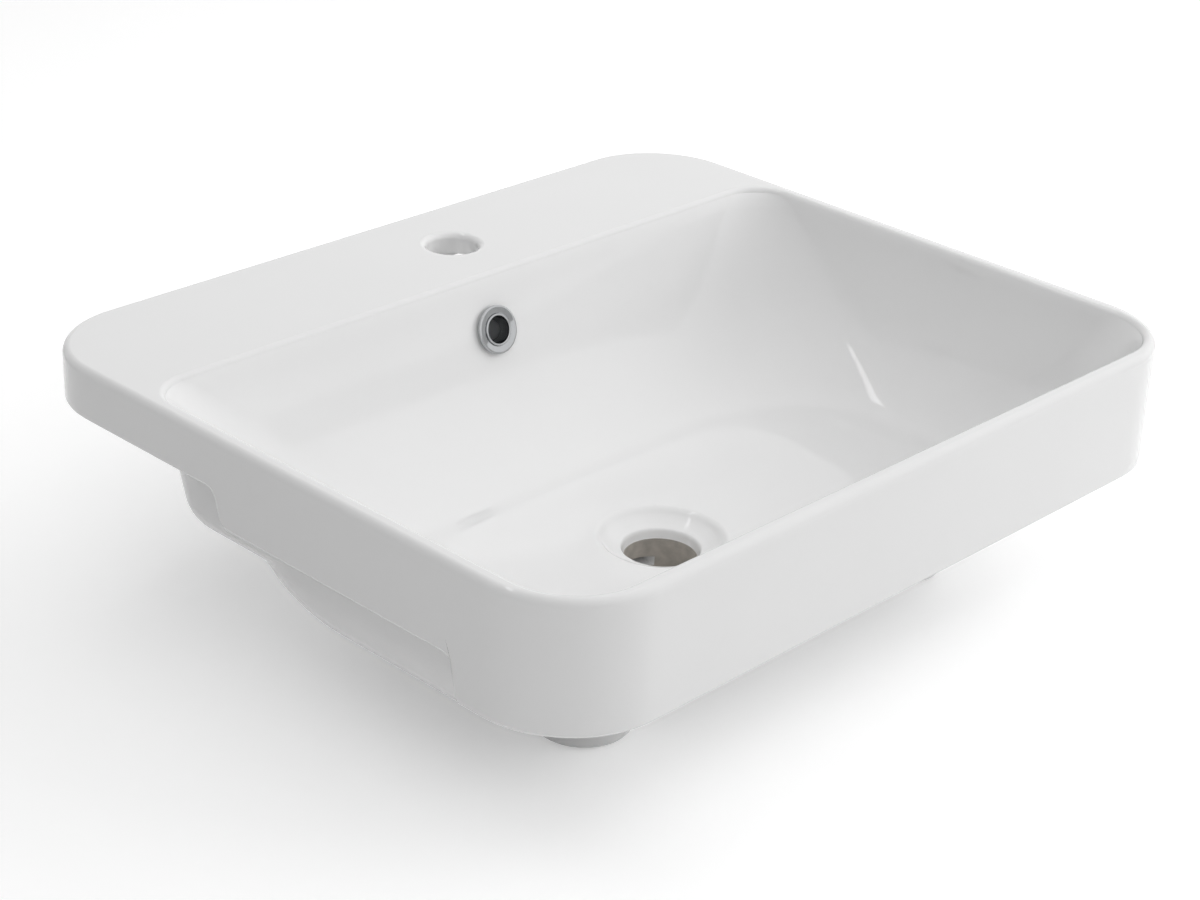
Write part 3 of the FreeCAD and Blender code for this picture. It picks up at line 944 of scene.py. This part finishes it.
class BASIN_OT_overflow(bpy.types.Operator):
    """Builds the overflow's bright ring and sleeve, and gives the rubber pieces their finish"""

    bl_idname = "basin.overflow"
    bl_label = "Overflow trim"

    def execute(self, context):
        sizes = context.scene.basin_sizes
        finish = context.scene.basin_finish
        chrome = chrome_material(finish)
        rubber = rubber_material(finish)
        for node in ("overflow_gasket", "overflow_grip"):
            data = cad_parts[node].data
            data.materials.clear()
            data.materials.append(rubber)
        flange = self.trim(sizes, "overflow_ring", self.flange_profile(), chrome)
        sleeve = self.trim(sizes, "overflow_tube", self.sleeve_profile(), chrome)
        for piece, node in ((flange, "overflow_flange"), (sleeve, "overflow_sleeve")):
            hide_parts(node)
            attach(piece, "root")
        return {"FINISHED"}

    def trim(self, sizes, name, profile, chrome):
        """A chromed ring turned from its profile and put in its place in the back wall."""
        mesh = turned_piece(profile)
        turn_to_overflow(sizes, mesh)
        return finished(name, mesh, [chrome], TRIM_SHARP)

    def flange_profile(self):
        """A dished ring with a rolled outer edge."""
        edge = rounding(TRIM_ROUND, 0, 90, 5)
        rolled = [(RING_EDGE[0] + across, RING_EDGE[1] + along) for across, along in edge]
        return list(RING_BACK) + rolled + list(RING_DISH)

    def sleeve_profile(self):
        """A thin tube whose front end is rolled outwards over the ring."""
        edge = rounding(TRIM_ROUND, -20, 180, 9)
        rolled = [(TUBE_EDGE[0] + across, TUBE_EDGE[1] + along) for across, along in edge]
        return list(TUBE_WALL) + rolled + [TUBE_MOUTH]


class BASIN_OT_stage(bpy.types.Operator):
    """Sets the floor, the soft lights, the world and the camera"""

    bl_idname = "basin.stage"
    bl_label = "Studio stage"

    def execute(self, context):
        scene = context.scene
        scene.view_settings.view_transform = "Standard"
        self.floor(scene.basin_finish)
        scene.world = self.world()
        for lamp in LAMPS:
            self.lamp(*lamp)
        scene.camera = self.camera()
        return {"FINISHED"}

    def floor(self, finish):
        """A wide plane just under the feet."""
        mesh = bmesh.new()
        bmesh.ops.create_grid(mesh, x_segments=8, y_segments=8, size=FLOOR_HALF)
        bmesh.ops.translate(mesh, verts=mesh.verts, vec=(0, 0, -FLOOR_DROP))
        ground = finished("studio_floor", mesh, [ground_material(finish)])

    def world(self):
        """White round the stage for the eye and in reflections, with little light of its own."""
        world = bpy.data.worlds.new("studio")
        world.use_nodes = True
        tree = Tree(world.node_tree)
        background = tree.nodes["Background"]
        tree.feed(background.inputs["Color"], rgba((1, 1, 1)))
        tree.feed(background.inputs["Strength"], tree.seen().math("MAXIMUM", WORLD_LIGHT))
        return world

    def lamp(self, name, place, width, height, power, reflected):
        """A soft rectangular lamp aimed at the basin."""
        data = bpy.data.lights.new(name, "AREA")
        data.shape = "RECTANGLE"
        data.size = width
        data.size_y = height
        data.energy = power
        lamp = bpy.data.objects.new(name, data)
        lamp.location = place
        aim = LAMP_AIM - Vector(place)
        lamp.rotation_euler = aim.to_track_quat("-Z", "Y").to_euler()
        lamp.visible_glossy = reflected
        bpy.context.collection.objects.link(lamp)

    def camera(self):
        """The photograph's viewpoint: its place, azimuth, elevation, slight roll and lens."""
        azimuth = math.radians(CAMERA_AZIMUTH)
        elevation = math.radians(CAMERA_ELEVATION)
        roll = math.radians(CAMERA_ROLL)
        flat = math.cos(elevation)
        back = Vector((math.sin(azimuth) * flat, -math.cos(azimuth) * flat, math.sin(elevation)))
        level = UP.cross(back).normalized()
        upright = back.cross(level)
        right = level * math.cos(roll) + upright * math.sin(roll)
        data = bpy.data.cameras.new("camera")
        data.sensor_width = CAMERA_SENSOR
        data.lens = CAMERA_LENS
        camera = bpy.data.objects.new("camera", data)
        turn = Matrix((right, back.cross(right), back)).transposed().to_4x4()
        camera.matrix_world = Matrix.Translation(CAMERA_PLACE) @ turn
        bpy.context.collection.objects.link(camera)
        return camera


class BASIN_PT_panel(bpy.types.Panel):
    """Lists the basin's pieces, sizes and colours"""

    bl_idname = "BASIN_PT_panel"
    bl_label = "Basin"
    bl_space_type = "VIEW_3D"
    bl_region_type = "UI"
    bl_category = "Basin"

    def draw(self, context):
        for piece in PIECES:
            self.layout.operator(piece.bl_idname)
        for group in (context.scene.basin_sizes, context.scene.basin_finish):
            column = self.layout.column()
            for name in group.__annotations__:
                column.prop(group, name)


PIECES = (BASIN_OT_body, BASIN_OT_overflow, BASIN_OT_stage)
CLASSES = (BasinSizes, BasinFinish) + PIECES + (BASIN_PT_panel,)


def register():
    for item in CLASSES:
        bpy.utils.register_class(item)
    bpy.types.Scene.basin_sizes = bpy.props.PointerProperty(type=BasinSizes)
    bpy.types.Scene.basin_finish = bpy.props.PointerProperty(type=BasinFinish)


def unregister():
    del bpy.types.Scene.basin_finish
    del bpy.types.Scene.basin_sizes
    for item in reversed(CLASSES):
        bpy.utils.unregister_class(item)


def main():
    register()
    bpy.ops.basin.body()
    bpy.ops.basin.overflow()
    bpy.ops.basin.stage()


if __name__ == "__main__":
    main()
